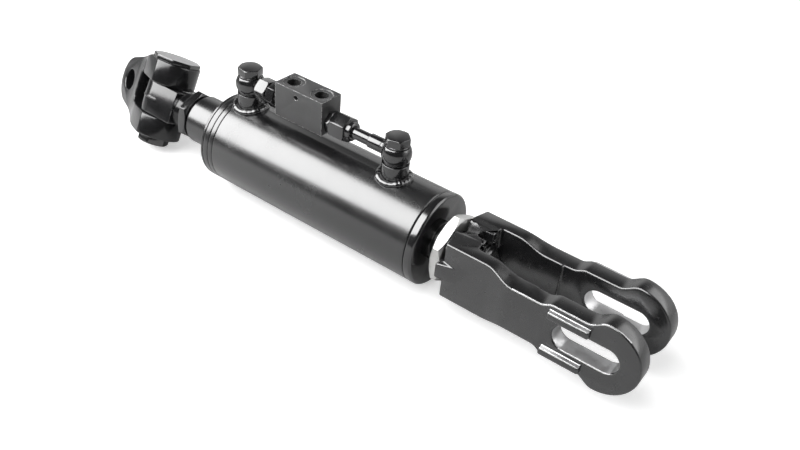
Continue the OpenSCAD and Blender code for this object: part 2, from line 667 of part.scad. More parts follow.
// The clevis seen along the pin: drafted sides, then a hollow taper down to the lug
taper = [for (i = [0:6]) [ear_flat_l + clevis_taper_l*i/6,
    lug_t/2 + (clevis_w - lug_t)/2*pow(1 - i/6, 1.45)]];
clevis_top = mirrored(concat([[-ear_boss_d, clevis_w/2 + flat_draft*(ear_flat_l + ear_boss_d)]], taper,
    [[lug_reach + lug_w, lug_t/2]]));
module chassis_clevis() color("#1b1b1c") placed() at_clevis() difference() {
    intersection() {
        rotate([90, 0, 0]) translate([0, 0, -clevis_w]) linear_extrude(height = 2*clevis_w)
            polygon(clevis_side);
        translate([0, 0, -ear_out]) linear_extrude(height = 2*ear_out) polygon(clevis_top);
        translate([0, 0, -ear_out]) union() {
            cylinder(h = 2*ear_out, d = ear_boss_d);
            translate([0, -ear_boss_d/2, 0]) cube([lug_reach + lug_w, ear_boss_d, 2*ear_out]);
        }
    }
    difference() {
        translate([-ear_boss_d, -ear_boss_d, -ear_in]) cube([ear_boss_d + clevis_depth, 2*ear_boss_d, 2*ear_in]);
        for (s = [-1, 1]) difference() {
            translate([clevis_depth - lug_gap_r, -ear_boss_d - 1, s > 0 ? ear_in - lug_gap_r : -ear_in - eps])
                cube([lug_gap_r + eps, 2*ear_boss_d + 2, lug_gap_r + eps]);
            translate([clevis_depth - lug_gap_r, -ear_boss_d - 2, s*(ear_in - lug_gap_r)]) rotate([-90, 0, 0])
                cylinder(h = 2*ear_boss_d + 4, r = lug_gap_r);
        }
    }
    translate([0, 0, -2*ear_out]) cylinder(h = 4*ear_out, d = pin_d);
    translate([lug_reach, -lug_t, -lug_drop]) rotate([-90, 0, 0]) cylinder(h = 2*lug_t, d = lug_hole_d);
}

pin_turn = 11;
module pivot_pin() color("#2a2a2b") placed() at_clevis() {
    translate([0, 0, ear_out]) rotate([0, 0, pin_turn]) intersection() {
        cylinder(h = pin_head_t, d = pin_head_w/cos(22.5), $fn = 8);
        cylinder(h = pin_head_t + 2, d1 = pin_head_w/cos(22.5) + 2*pin_head_t, d2 = pin_head_w - 3);
    }
    translate([0, 0, -nut_ear_out]) cylinder(h = nut_ear_out + ear_out + eps, d = pin_d);
    translate([0, 0, -nut_ear_out - pin_nut_t - 1]) cylinder(h = pin_nut_t + 2, d = pin_thread_d);
}

module pin_nut() color("#2a2a2b") placed() at_clevis() translate([0, 0, -nut_ear_out]) mirror([0, 0, 1])
    difference() {
        rotate([0, 0, 17]) hexagon(pin_nut_af, pin_nut_t, false);
        translate([0, 0, -1]) cylinder(h = pin_nut_t + 2, d = pin_thread_d);
    }

// Lower link end: a lock nut and the slotted fork on the base stud
module fork_lock_nut() color("#b7babd") placed()
    nut_x(fork_nut_x, fork_nut_l, fork_nut_af, stud_d + 2*run_fit, 2.5);

// Side view: tall root, waist, arms beside the slot and round ends
fork_side = mirrored(concat([[-root_crown, root_h/2]], [[waist_x0, root_h/2]],
    step(waist_x0, root_h/2, waist_x1, waist_h/2, 8), step(waist_x2, waist_h/2, waist_x3, arm_h/2, 6),
    step(lobe_x - flare_l, arm_h/2, lobe_x, lobe_r, 8), arc(lobe_x, 0, lobe_r, 86, 2, 14)));
// Top view: crowned root, then arms that spread
fork_top = mirrored(concat([[0, 0], [root_crown*0.08, root_w*0.13], [root_crown*0.5, root_w*0.27],
    [root_crown, root_w/2]],
    step(waist_x0, root_w/2, waist_x1, arms_w/2, 6), [[tip_x + 1, arms_w/2]]));
module slot_holes(r, w) {
    for (x = [slot_x0, slot_x1]) translate([x, -w, 0]) rotate([-90, 0, 0]) cylinder(h = 2*w, r = r);
    translate([slot_x0, -w, -r]) cube([slot_x1 - slot_x0, 2*w, 2*r]);
}
module gap_between_arms() {
    end = tip_x + 10;
    for (s = [-1, 1]) translate([root_l + gap_r, s*(gap_w/2 - gap_r), -root_h]) cylinder(h = 2*root_h, r = gap_r);
    translate([root_l + gap_r, -gap_w/2, -root_h]) cube([end, gap_w, 2*root_h]);
    translate([root_l, -gap_w/2 + gap_r, -root_h]) cube([end, gap_w - 2*gap_r, 2*root_h]);
    translate([step_x, -gap_w/2 - gap_step, -root_h]) cube([end, gap_w + 2*gap_step, 2*root_h]);
}
module wedge_pads() for (s = [-1, 1]) translate([0, 0, pad_z0]) linear_extrude(height = pad_z1 - pad_z0)
    polygon([[0.6, 0], [0.6, s*(root_w/2 + pad_out)], [root_crown/2, s*(root_w/2 + pad_out)],
        [root_crown/2 + pad_l, s*root_w/2], [root_crown/2 + pad_l, 0]]);
module guide_ribs() for (s = [-1, 1], u = [-1, 1])
    translate([rib_x, s > 0 ? arms_w/2 - 3 : -arms_w/2 - rib_out, u > 0 ? rib_z : -rib_z - rib_t])
        cube([rib_l, rib_out + 3, rib_t]);
module lower_link_fork() color("#1b1b1c") placed() translate([fork_x, 0, 0]) difference() {
    union() {
        intersection() {
            rotate([90, 0, 0]) translate([0, 0, -arms_w]) linear_extrude(height = 2*arms_w) polygon(fork_side);
            translate([0, 0, -lobe_r - 1]) linear_extrude(height = 2*lobe_r + 2) polygon(fork_top);
        }
        guide_ribs();
        wedge_pads();
    }
    gap_between_arms();
    slot_holes(slot_r, arms_w);
    rod_x(-1, root_l + 5, stud_d + 2*run_fit);
    translate([-eps, 0, 0]) rotate([0, 90, 0]) cylinder(h = sink_l, d1 = sink_d, d2 = stud_d + 2*run_fit);
    for (s = [-1, 1]) translate([0, 0, s*(root_h/2 - scoop_depth + scoop_r)])
        rod_x(-1, root_l + 5, 2*scoop_r);
    translate([root_l - notch_l + notch_w/2, 0, stud_d/4]) {
        cylinder(h = root_h, d = notch_w);
        translate([0, -notch_w/2, 0]) cube([notch_l, notch_w, root_h]);
    }
}

barrel_tube();
port_bosses();
port_weld_beads();
rod_gland();
rod_wiper();
rod_seal();
rod_guide_ring();
gland_o_ring();
base_cap();
base_stud();
banjo_bolts();
banjo_washers();
rod_end_banjo();
base_end_banjo();
valve_block();
rod_end_adapter();
base_end_adapter();
rod_end_pipe_nut();
base_end_pipe_nut();
rod_end_pipe();
base_end_pipe();
pipe_sleeve();
check_seats();
rod_end_check_spring();
base_end_check_spring();
pilot_piston();
rod_end_poppet();
base_end_poppet();
piston_seal();
piston_guide_rings();
piston_rod();
piston();
piston_o_ring();
piston_nut();
knuckle_lock_nut();
knuckle();
knuckle_bush();
chassis_clevis();
pivot_pin();
pin_nut();
fork_lock_nut();
lower_link_fork();
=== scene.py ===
"""Dresses the lower link stabilizer: finishes, eased edges, threads, welds and the studio."""
import math

import bpy
from bpy.props import FloatProperty, FloatVectorProperty, IntProperty, PointerProperty
from mathutils import Matrix, Vector


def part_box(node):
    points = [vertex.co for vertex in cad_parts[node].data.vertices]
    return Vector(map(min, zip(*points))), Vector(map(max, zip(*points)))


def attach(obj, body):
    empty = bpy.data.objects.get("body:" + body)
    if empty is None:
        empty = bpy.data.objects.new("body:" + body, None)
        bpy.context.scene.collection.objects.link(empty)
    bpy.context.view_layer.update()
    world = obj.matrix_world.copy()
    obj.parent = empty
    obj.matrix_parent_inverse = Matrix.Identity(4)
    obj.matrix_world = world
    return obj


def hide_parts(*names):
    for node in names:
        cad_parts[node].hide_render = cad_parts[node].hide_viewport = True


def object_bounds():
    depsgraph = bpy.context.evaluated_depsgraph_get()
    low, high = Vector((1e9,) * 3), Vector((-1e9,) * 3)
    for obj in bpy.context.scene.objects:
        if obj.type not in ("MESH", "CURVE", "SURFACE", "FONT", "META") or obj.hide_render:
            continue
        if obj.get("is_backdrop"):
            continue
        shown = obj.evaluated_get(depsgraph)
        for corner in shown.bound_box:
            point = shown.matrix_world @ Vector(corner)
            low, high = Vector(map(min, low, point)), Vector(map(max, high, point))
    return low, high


bl_info = {
    "name": "Lower link stabilizer",
    "version": (1, 0, 0),
    "blender": (4, 5, 0),
    "location": "View3D > Sidebar > Stabilizer",
    "description": "Finishes and fine parts of a hydraulic lower link stabilizer",
    "category": "Object",
}

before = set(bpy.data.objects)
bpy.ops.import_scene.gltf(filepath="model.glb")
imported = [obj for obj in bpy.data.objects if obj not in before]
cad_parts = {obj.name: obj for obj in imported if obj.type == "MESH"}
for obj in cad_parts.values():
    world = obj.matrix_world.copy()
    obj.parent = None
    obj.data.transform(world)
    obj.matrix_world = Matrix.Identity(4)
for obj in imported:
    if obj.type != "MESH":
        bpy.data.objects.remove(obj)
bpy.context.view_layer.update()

# Lengths below are in metres and angles in degrees.

# The knuckle: where its stud begins, the stud's diameter and teeth, and the ridge on its eye
KNUCKLE_SHOULDER = -0.4354
KNUCKLE_STUD = 0.027
KNUCKLE_TOOTH = 0.0013
KNUCKLE_CHAMFER = 0.0015
STUD_OVERLAP = 0.0004
EYE_X = -0.4709
EYE_RADIUS = 0.0195
RIDGE_RADIUS = 0.0007
PIN_LEAN = 27

# The base stud: the height of its teeth and the bevel at its end
STUD_TOOTH = 0.002
STUD_CHAMFER = 0.003

# The fork's root: what _ALONG gives counts along X from the root's front
ROOT_HEIGHT = 0.052
SHOULDER_ALONG = (0.0006, 0.026)
SHOULDER_HALF_WIDTH = 0.0112
SHOULDER_FOOT = 0.0182
SCOOP_ALONG = (-0.004, 0.021)
SCOOP_RADIUS = 0.013
# The floor of the dish over the root's top, at its front and its back
SCOOP_FLOOR = (-0.00762, 0.0024)
SINK_ALONG = (-0.001, 0.009)
SINK_RADII = (0.0247, 0.0168)
NOTCH_WIDTH = 0.0104
NOTCH_ALONG = (0.0205, 0.0275)
NOTCH_HEIGHTS = (0.008, 0.04)

# Where the fork's edges stay as they are: the top of its root and its guide ribs
ROOT_TOP_END = 0.032
ROOT_TOP_HALF_WIDTH = 0.0145
RIB_OUT = 0.034
RIB_HEIGHTS = (0.0138, 0.0210)
RIB_ENDS = (-0.033, 0.002)

# The fork's bared faces: the slots' rubbed walls, and the upper faces near the ribs' outer sides,
# which are rubbed and also bared as a painted highlight from above
SLOT_LENGTH = 0.062
SLOT_WIDTH = 0.0228
RIB_HIGHLIGHT_DEPTH = 0.0077
RIB_HIGHLIGHT_REACH = 0.06

# How far past a wall's own size its faces are looked for
FACE_MARGIN = 0.0004

# The valve block's hose ports: their place, bore, the depth below which their bore is painted near
# black as shade, and thread
PORT_INSET = 0.0104
PORT_BORE = 0.0118
PORT_SHADE_DEPTH = 0.0012
PORT_THREAD_DEPTH = 0.0016
PORT_THREAD_OUT = 0.00004
PORT_THREAD_RADIUS = 0.00042
PORT_THREAD_TURNS = 6

# The pipes' fittings in the order they are made, with the angle each hexagon is turned by
FITTING_TURNS = {
    "rod_end_pipe_nut": -18, "base_end_pipe_nut": 24, "rod_end_adapter": 27,
    "base_end_adapter": 0, "rod_end_banjo": 0, "base_end_banjo": 0, "rod_end_pipe": 0,
    "base_end_pipe": 0, "pipe_sleeve": 0, "port_bosses": 0, "banjo_washers": 0,
}
BANJO_EDGE = 0.0012

# One tooth of a thread, as steps along the pitch and up the tooth, and where the first is drawn
TOOTH = ((0.12, 0), (0.36, 1), (0.14, 0), (0.38, -1))
TOOTH_LEAD = 1.37
THREAD_STEPS = 48

# The bevels' segments, and the distance within which points are one
EDGE_SEGMENTS = 3
MERGE_DISTANCE = 2e-6

# The span that most of a noise fills, and the depths of the fine and the common bumps
NOISE_SPAN = (0.3, 0.7)
FINE_BUMP = 0.0002
COMMON_BUMP = 0.0004

# The camera, as solved for the photograph's view
CAMERA_PLACE = (0.1272, -0.4806, 0.4221)
CAMERA_RIGHT = (0.816, 0.568, 0.112)
CAMERA_UP = (-0.419, 0.447, 0.790)
CAMERA_LENS = 38.84
CAMERA_SHIFT = (-0.0500, 0.0154)
LAMP_TARGET = (-0.2, 0, 0)
FLOOR_SIZE = 6
FLOOR_GAP = 0.0005


class StabilizerFinish(bpy.types.PropertyGroup):
    """Colours and roughness of the finishes."""
    paint: FloatVectorProperty(
        name="Paint", description="Colour of the black paint", subtype="COLOR",
        size=3, min=0, max=1, default=(0.0065, 0.0065, 0.007))
    paint_roughness: FloatProperty(
        name="Paint roughness", description="Roughness of the smooth paint",
        min=0, max=1, default=0.14)
    forged_roughness: FloatProperty(
        name="Forged roughness", description="Roughness of the paint on the fork",
        min=0, max=1, default=0.24)
    steel: FloatVectorProperty(
        name="Steel", description="Colour of bare steel", subtype="COLOR",
        size=3, min=0, max=1, default=(0.56, 0.565, 0.575))
    zinc: FloatVectorProperty(
        name="Zinc", description="Colour of the plated lock nut", subtype="COLOR",
        size=3, min=0, max=1, default=(0.60, 0.60, 0.59))


class StabilizerSizes(bpy.types.PropertyGroup):
    """Sizes of the fine parts."""
    forged_edge: FloatProperty(
        name="Forged edge", description="Width of the edges of the clevis and the knuckle",
        unit="LENGTH", min=0.0001, default=0.0011)
    machined_edge: FloatProperty(
        name="Machined edge", description="Width of the machined edges",
        unit="LENGTH", min=0.0001, default=0.0005)
    stud_pitch: FloatProperty(
        name="Stud pitch", description="Pitch of the thread on the base stud",
        unit="LENGTH", min=0.001, default=0.0032)
    knuckle_pitch: FloatProperty(
        name="Knuckle pitch", description="Pitch of the knuckle's thread",
        unit="LENGTH", min=0.001, default=0.002)
    port_pitch: FloatProperty(
        name="Port pitch", description="Pitch of the threads in the hose ports",
        unit="LENGTH", min=0.0005, default=0.0013)
    weld_bead: FloatProperty(
        name="Weld bead", description="Radius of the bead round each boss",
        unit="LENGTH", min=0.001, default=0.0036)
    weld_ripples: IntProperty(
        name="Weld ripples", description="Ripples round each boss",
        min=8, max=80, default=22)
    fork_edge: FloatProperty(
        name="Fork edge", description="Width of the fork's edges",
        unit="LENGTH", min=0.0002, max=0.0018, default=0.0016)


def finish():
    return bpy.context.scene.stabilizer_finish


def sizes():
    return bpy.context.scene.stabilizer_sizes


def look(name):
    return bpy.data.materials[name]


def scaled(colour, factor):
    return tuple(min(1.0, channel*factor) for channel in colour)


class Nodes:
    """Adds nodes to the tree of a material or a world, and links them."""

    def __init__(self, owner):
        owner.use_nodes = True
        self.tree = owner.node_tree
        self.tree.nodes.clear()

    def add(self, kind, **values):
        node = self.tree.nodes.new(kind)
        for key, value in values.items():
            setattr(node, key, value)
        return node

    def link(self, start, end):
        self.tree.links.new(start, end)

    def feed(self, socket, value):
        """Sets a socket to a number or a colour, or links it to another socket."""
        if isinstance(value, float):
            socket.default_value = value
        elif isinstance(value, tuple):
            socket.default_value = (*value, 1)
        else:
            self.link(value, socket)

    def remap(self, value, low, high, start=0.0, end=1.0):
        """Stretches the values from low to high over start to end."""
        node = self.add("ShaderNodeMapRange")
        keys = ("From Min", "From Max", "To Min", "To Max")
        for key, number in zip(keys, (low, high, start, end)):
            node.inputs[key].default_value = number
        self.link(value, node.inputs["Value"])
        return node.outputs["Result"]

    def multiply(self, first, second):
        node = self.add("ShaderNodeMath", operation="MULTIPLY", use_clamp=True)
        self.link(first, node.inputs[0])
        self.link(second, node.inputs[1])
        return node.outputs[0]

    def mix(self, factor, first, second, kind="RGBA"):
        """The first colour or number where factor is 0, and the second where it is 1."""
        node = self.add("ShaderNodeMix", data_type="RGBA" if kind == "RGBA" else "FLOAT")
        self.link(factor, node.inputs["Factor"])
        ends = [socket for socket in node.inputs if socket.type == kind and socket.name in "AB"]
        for socket, value in zip(ends, (first, second)):
            self.feed(socket, value)
        return next(socket for socket in node.outputs if socket.type == kind)


class Shade(Nodes):
    """A material with one Principled shader, built socket by socket."""

    def __init__(self, name, metallic=0.0, specular=1.0):
        self.material = bpy.data.materials.new(name)
        super().__init__(self.material)
        self.output = self.add("ShaderNodeOutputMaterial")
        self.shader = self.add("ShaderNodeBsdfPrincipled")
        self.shader.inputs["Metallic"].default_value = metallic
        self.shader.inputs["Specular IOR Level"].default_value = specular
        self.shader.inputs["IOR"].default_value = 1.5
        self.link(self.shader.outputs[0], self.output.inputs[0])
        self.coords = self.add("ShaderNodeTexCoord")

    def noise(self, size, detail=4.0, rough=0.55, stretch=None):
        """Noise whose grains are about size metres across, drawn out by stretch."""
        node = self.add("ShaderNodeTexNoise")
        node.inputs["Scale"].default_value = 1/size
        node.inputs["Detail"].default_value = detail
        node.inputs["Roughness"].default_value = rough
        source = self.coords.outputs["Object"]
        if stretch:
            mapping = self.add("ShaderNodeMapping")
            mapping.inputs["Scale"].default_value = stretch
            self.link(source, mapping.inputs["Vector"])
            source = mapping.outputs[0]
        self.link(source, node.inputs["Vector"])
        return node.outputs["Fac"]

    def edges(self, radius):
        """A shader bevel: its rounded normal, and a value that is 1 on sharp edges."""
        bevel = self.add("ShaderNodeBevel", samples=6)
        bevel.inputs["Radius"].default_value = radius
        geometry = self.add("ShaderNodeNewGeometry")
        dot = self.add("ShaderNodeVectorMath", operation="DOT_PRODUCT")
        self.link(bevel.outputs[0], dot.inputs[0])
        self.link(geometry.outputs["Normal"], dot.inputs[1])
        return bevel.outputs[0], self.remap(dot.outputs["Value"], 0.995, 0.90)

    def bump(self, heights, normal=None, distance=COMMON_BUMP):
        """Chains bumps over a normal; heights are (value, strength) pairs."""
        for value, strength in heights:
            node = self.add("ShaderNodeBump")
            node.inputs["Strength"].default_value = strength
            node.inputs["Distance"].default_value = distance
            self.link(value, node.inputs["Height"])
            if normal:
                self.link(normal, node.inputs["Normal"])
            normal = node.outputs[0]
        self.link(normal, self.shader.inputs["Normal"])

    def tones(self, cloud, colour, dark, light):
        """A colour that goes from dark to light times itself as the clouds pass."""
        share = self.remap(cloud, *NOISE_SPAN)
        return self.mix(share, scaled(colour, dark), scaled(colour, light))

    def colour(self, value):
        self.feed(self.shader.inputs["Base Color"], value)

    def rough(self, cloud, smooth, dull):
        """A roughness that goes from smooth to dull as the clouds pass."""
        value = self.remap(cloud, *NOISE_SPAN, smooth, dull)
        self.link(value, self.shader.inputs["Roughness"])


def gloss_paint(name, roughness=None, peel=0.02):
    """Smooth sprayed paint with a faint orange peel and thin paint on the edges."""
    paint = tuple(finish().paint)
    base = finish().paint_roughness if roughness is None else roughness
    shade = Shade(name)
    cloud = shade.noise(0.03, 3)
    normal, edge = shade.edges(0.0009)
    worn = shade.multiply(edge, shade.remap(shade.noise(0.006, 4), 0.5, 0.7))
    bare = scaled(tuple(finish().steel), 0.25)
    shade.colour(shade.mix(worn, shade.tones(cloud, paint, 0.85, 1.25), bare))
    shade.rough(cloud, base*0.85, base*1.2)
    shade.bump([(shade.noise(0.0016, 2), peel), (shade.noise(0.008, 2), peel)], normal)
    return shade.material


def satin_black(name):
    """Dull black finish of the machined block, with faint cutter marks and rubbed edges."""
    shade = Shade(name, specular=0.5)
    cloud = shade.noise(0.015, 4)
    normal, edge = shade.edges(0.0006)
    worn = shade.multiply(edge, shade.remap(shade.noise(0.0025, 3), 0.42, 0.55))
    tone = shade.mix(shade.remap(cloud, *NOISE_SPAN),
                     (0.038, 0.038, 0.0385), (0.052, 0.052, 0.0525))
    shade.colour(shade.mix(worn, tone, (0.62, 0.62, 0.62)))
    shade.rough(cloud, 0.36, 0.46)
    marks = shade.noise(0.0012, 2, stretch=(1, 0.08, 1))
    shade.bump([(marks, 0.03), (shade.noise(0.002, 3), 0.03)], normal, FINE_BUMP)
    return shade.material


def forged_paint(name, radius, roughness=None, grain=0.05, specular=1.0):
    """Paint over forged skin: scale pits, soft dents and thin paint on the edges."""
    paint = tuple(finish().paint)
    base = finish().forged_roughness if roughness is None else roughness
    shade = Shade(name, specular=specular)
    cloud = shade.noise(0.02, 4)
    skin = shade.noise(0.0022, 5, 0.6)
    pits = shade.remap(shade.noise(0.0009, 3, 0.5), 0.62, 0.72, 1.0, 0.0)
    normal, edge = shade.edges(radius)
    worn = shade.multiply(edge, shade.remap(shade.noise(0.004, 5), 0.5, 0.65))
    bare = scaled(tuple(finish().steel), 0.22)
    shade.colour(shade.mix(worn, shade.tones(cloud, paint, 0.8, 1.8), bare))
    shade.rough(shade.noise(0.006, 4), base*0.85, base*1.2)
    shade.bump([(skin, grain), (pits, grain*0.5), (cloud, grain*1.2)], normal)
    return shade.material


def metal(name, colour, roughness, grain=0.06, turned=None, radius=0.0005):
    """Bare or plated metal, with marks drawn out along an axis where turned says so."""
    shade = Shade(name, metallic=1.0, specular=0.5)
    cloud = shade.noise(0.012, 5)
    spots = shade.remap(shade.noise(0.003, 4), 0.55, 0.75)
    tone = shade.tones(cloud, colour, 0.86, 1.06)
    shade.colour(shade.mix(spots, tone, scaled(colour, 0.7)))
    shade.rough(cloud, roughness*0.8, roughness*1.25)
    marks = shade.noise(0.004, 2, stretch=turned) if turned else shade.noise(0.0012, 3)
    shade.bump([(marks, grain)], shade.edges(radius)[0], FINE_BUMP)
    return shade.material


def plain(name, colour, roughness, grain=0.08, specular=0.5):
    """Rubber, plastic, guide bands and the painted shade inside the ports."""
    shade = Shade(name, specular=specular)
    cloud = shade.noise(0.01, 4)
    shade.colour(shade.tones(cloud, colour, 0.85, 1.15))
    shade.rough(cloud, roughness*0.9, roughness*1.1)
    shade.bump([(shade.noise(0.001, 3), grain)])
    return shade.material


def dress(thing, material):
    thing.data.materials.clear()
    thing.data.materials.append(material)


def only(thing):
    bpy.ops.object.select_all(action="DESELECT")
    thing.select_set(True)
    bpy.context.view_layer.objects.active = thing


def apply_place():
    bpy.ops.object.transform_apply(location=True, rotation=True, scale=True)


def shell_of(node, name):
    """A copy of a node's mesh with its loose triangles merged into whole faces."""
    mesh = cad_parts[node].data.copy()
    mesh.name = name
    piece = bpy.data.objects.new(name, mesh)
    bpy.context.scene.collection.objects.link(piece)
    only(piece)
    bpy.ops.object.mode_set(mode="EDIT")
    bpy.ops.mesh.select_all(action="SELECT")
    bpy.ops.mesh.remove_doubles(threshold=MERGE_DISTANCE)
    bpy.ops.mesh.dissolve_limited(angle_limit=math.radians(0.6))
    bpy.ops.object.mode_set(mode="OBJECT")
    return piece


def bevel_edges(piece, width, angle):
    """Rounds the edges of a piece that are sharper than an angle."""
    only(piece)
    bevel = piece.modifiers.new("edges", "BEVEL")
    bevel.width = width
    bevel.segments = EDGE_SEGMENTS
    bevel.limit_method = "ANGLE"
    bevel.angle_limit = math.radians(angle)
    bpy.ops.object.modifier_apply(modifier=bevel.name)


def eased(node, width, angle=24):
    """A copy of a node with its sharp edges eased by a bevel."""
    piece = shell_of(node, node + "_eased")
    bevel_edges(piece, width, angle)
    return piece


def ease_chosen(piece, width, angle, test):
    """Rounds the sharp edges whose two ends pass a test."""
    only(piece)
    bpy.ops.object.mode_set(mode="EDIT")
    bpy.ops.mesh.select_mode(type="EDGE")
    bpy.ops.mesh.select_all(action="DESELECT")
    bpy.ops.mesh.edges_select_sharp(sharpness=math.radians(angle))
    bpy.ops.object.mode_set(mode="OBJECT")
    points = [vertex.co for vertex in piece.data.vertices]
    for edge in piece.data.edges:
        if edge.select and not all(test(points[index]) for index in edge.vertices):
            edge.select = False
    bpy.ops.object.mode_set(mode="EDIT")
    bpy.ops.mesh.bevel(offset=width, segments=EDGE_SEGMENTS, affect="EDGES", clamp_overlap=False)
    bpy.ops.mesh.select_mode(type="VERT")
    bpy.ops.object.mode_set(mode="OBJECT")


def settle(piece, body, slot, material, *nodes, angle=32):
    """Smooths and dresses a finished piece, and lets it ride on its body in the nodes' place."""
    only(piece)
    apply_place()
    bpy.ops.object.shade_smooth_by_angle(angle=math.radians(angle))
    if material:
        dress(piece, material)
    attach(piece, body)
    if nodes:
        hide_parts(*nodes)


def block(low, high):
    """A box from one corner to the other, as a tool for a cut or a fill."""
    bpy.ops.object.select_all(action="DESELECT")
    middle = [(a + b)/2 for a, b in zip(low, high)]
    lengths = [b - a for a, b in zip(low, high)]
    bpy.ops.mesh.primitive_cube_add(size=1, location=middle, scale=lengths)
    apply_place()
    return bpy.context.object


def rod(start, end, radius, end_radius=None):
    """A cylinder or cone between two points, as a tool for a cut."""
    start, end = Vector(start), Vector(end)
    bpy.ops.object.select_all(action="DESELECT")
    bpy.ops.mesh.primitive_cone_add(
        vertices=64, radius1=radius, radius2=radius if end_radius is None else end_radius,
        depth=(end - start).length, location=(start + end)/2,
        rotation=(end - start).to_track_quat("Z", "Y").to_euler())
    apply_place()
    return bpy.context.object


def combine(piece, tool, operation="DIFFERENCE"):
    """Cuts the tool out of a piece or fills it in, and removes the tool."""
    only(piece)
    change = piece.modifiers.new("change", "BOOLEAN")
    change.operation = operation
    change.solver = "EXACT"
    change.object = tool
    bpy.ops.object.modifier_apply(modifier=change.name)
    bpy.data.objects.remove(tool)


def paint_faces(piece, material, test):
    """Gives a second material to the faces that a test picks by their middle and normal."""
    piece.data.materials.append(material)
    index = len(piece.data.materials) - 1
    for face in piece.data.polygons:
        if test(face.center, face.normal):
            face.material_index = index


def join(first, *others):
    """Joins the others into the first piece."""
    only(first)
    for piece in others:
        piece.select_set(True)
    bpy.ops.object.join()
    return first


def trim(piece, point, normal):
    """Cuts away what lies beyond a plane, on the side that its normal points to."""
    only(piece)
    bpy.ops.object.mode_set(mode="EDIT")
    bpy.ops.mesh.select_all(action="SELECT")
    bpy.ops.mesh.bisect(plane_co=point, plane_no=normal, use_fill=True, clear_outer=True)
    bpy.ops.object.mode_set(mode="OBJECT")


def outward(piece):
    """Merges a mesh's doubles and turns its faces outwards."""
    only(piece)
    bpy.ops.object.mode_set(mode="EDIT")
    bpy.ops.mesh.select_all(action="SELECT")
    bpy.ops.mesh.remove_doubles(threshold=MERGE_DISTANCE)
    bpy.ops.mesh.normals_make_consistent(inside=False)
    bpy.ops.object.mode_set(mode="OBJECT")


def thread(name, start, end, crest, root, pitch, chamfer):
    """A threaded bar along X: one tooth is drawn, screwed round the axis and trimmed to length."""
    bpy.ops.object.select_all(action="DESELECT")
    bpy.ops.mesh.primitive_plane_add(size=pitch)
    piece = bpy.context.object
    piece.name = name
    bpy.ops.object.mode_set(mode="EDIT")
    bpy.ops.mesh.select_mode(type="VERT")
    bpy.ops.mesh.select_all(action="SELECT")
    bpy.ops.mesh.merge(type="CENTER")
    bpy.ops.transform.translate(value=(start - TOOTH_LEAD*pitch, 0, root))
    for along, rise in TOOTH:
        bpy.ops.mesh.extrude_region_move(
            TRANSFORM_OT_translate={"value": (along*pitch, 0, rise*(crest - root))})
    bpy.ops.object.mode_set(mode="OBJECT")
    screw = piece.modifiers.new("turns", "SCREW")
    screw.axis = "X"
    screw.steps = screw.render_steps = THREAD_STEPS
    screw.screw_offset = pitch
    screw.iterations = int((end - start)/pitch) + 3
    screw.use_merge_vertices = True
    screw.merge_threshold = MERGE_DISTANCE
    bpy.ops.object.modifier_apply(modifier=screw.name)
    outward(piece)
    trim(piece, (start, 0, 0), (-1, 0, 0))
    trim(piece, (end, 0, 0), (1, 0, 0))
    for vertex in piece.data.vertices:
        limit = crest - max(0.0, chamfer - (end - vertex.co.x))
        radius = math.hypot(vertex.co.y, vertex.co.z)
        if radius > limit:
            vertex.co.y *= limit/radius
            vertex.co.z *= limit/radius
    outward(piece)
    if len(piece.data.polygons) < THREAD_STEPS:
        raise RuntimeError(name + " has no thread")
    return piece


def weld_bead(name, x, boss_radius, barrel_radius, bead, ripples):
    """A rippled bead that hugs the barrel round a boss."""
    bpy.ops.object.select_all(action="DESELECT")
    bpy.ops.mesh.primitive_circle_add(
        vertices=ripples*6, radius=boss_radius + bead*0.42, location=(x, 0, 0))
    piece = bpy.context.object
    piece.name = name
    apply_place()
    for vertex in piece.data.vertices:
        vertex.co.z = math.sqrt(barrel_radius**2 - vertex.co.y**2) + bead*0.06
    bpy.ops.object.convert(target="CURVE")
    piece = bpy.context.object
    piece.data.bevel_depth = bead
    piece.data.bevel_resolution = 5
    for spline in piece.data.splines:
        count = len(spline.points)
        for index, point in enumerate(spline.points):
            phase = index*ripples/count
            slow = 0.06*math.sin(phase*0.9 + x*400) + 0.04*math.sin(phase*2.3 + x*900)
            step = 0.07 + 0.05*math.sin(math.floor(phase)*2.1 + x*700)
            point.radius = 0.85 + slow + step*(1 - (2*(phase % 1) - 1)**2)
    bpy.ops.object.convert(target="MESH")
    return bpy.context.object


